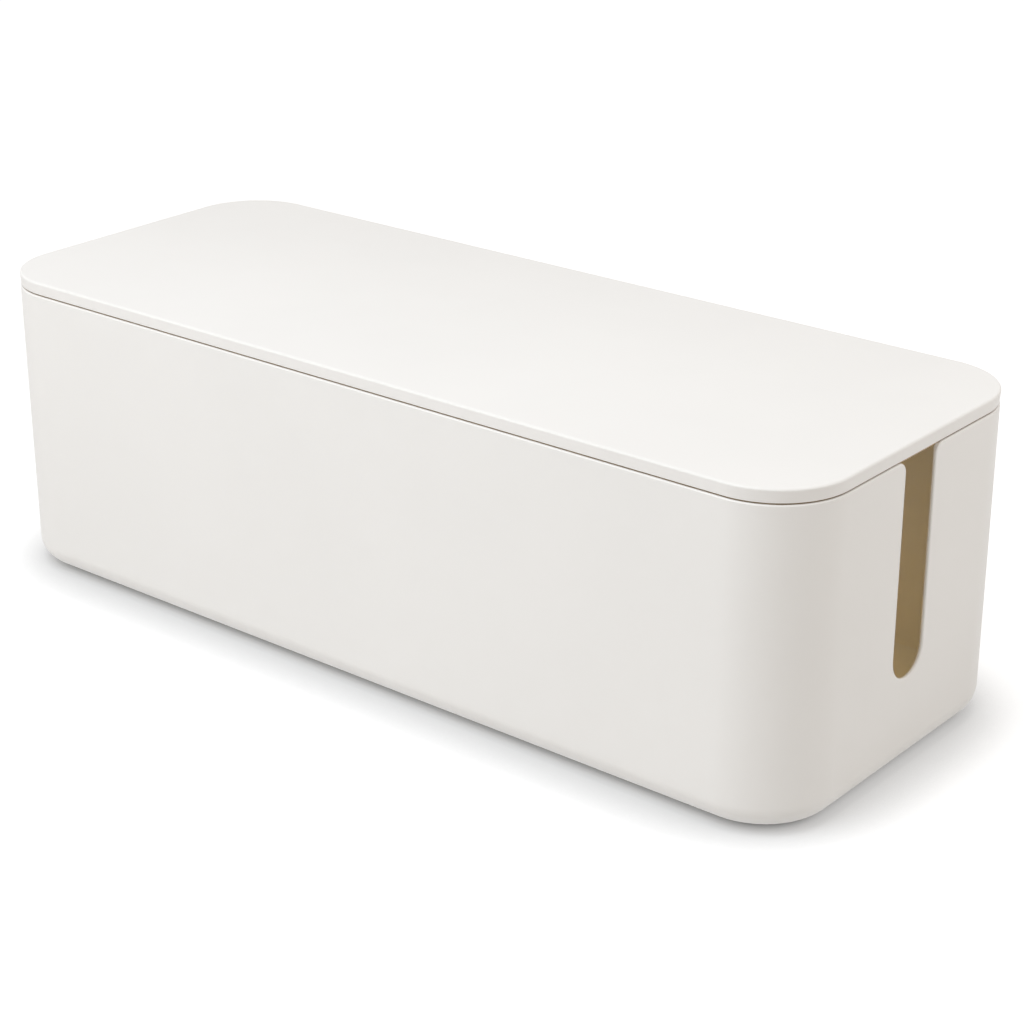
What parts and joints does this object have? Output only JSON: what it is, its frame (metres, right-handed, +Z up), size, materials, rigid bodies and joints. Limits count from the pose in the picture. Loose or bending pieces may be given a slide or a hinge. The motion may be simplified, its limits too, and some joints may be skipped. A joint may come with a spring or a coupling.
{
  "type": "cable management box",
  "caption": "Long rounded box that hides a power strip and its leads, with a flush lift-off lid and a cable slot in each end wall.",
  "frame": {"origin": "on the surface that the box stands on, under its middle", "axes": "+X along the box, towards the end wall that the picture shows; -Y the long front side; +Z up"},
  "size_m": [0.4, 0.154, 0.13],
  "materials": {
    "shell_plastic": "fine matte grain, warm white",
    "foot_rubber": "soft matte grey"
  },
  "bodies": {
    "tub": {"box_body": "shell_plastic", "foot_front_left": "foot_rubber", "foot_front_right": "foot_rubber", "foot_back_left": "foot_rubber", "foot_back_right": "foot_rubber"},
    "cover": {"lid": "shell_plastic"}
  },
  "joints": [
    {"name": "lid_lift", "type": "slide", "parent": "tub", "child": "cover", "axis": [0, 0, 1], "range_m": [0, 0.15]}
  ]
}
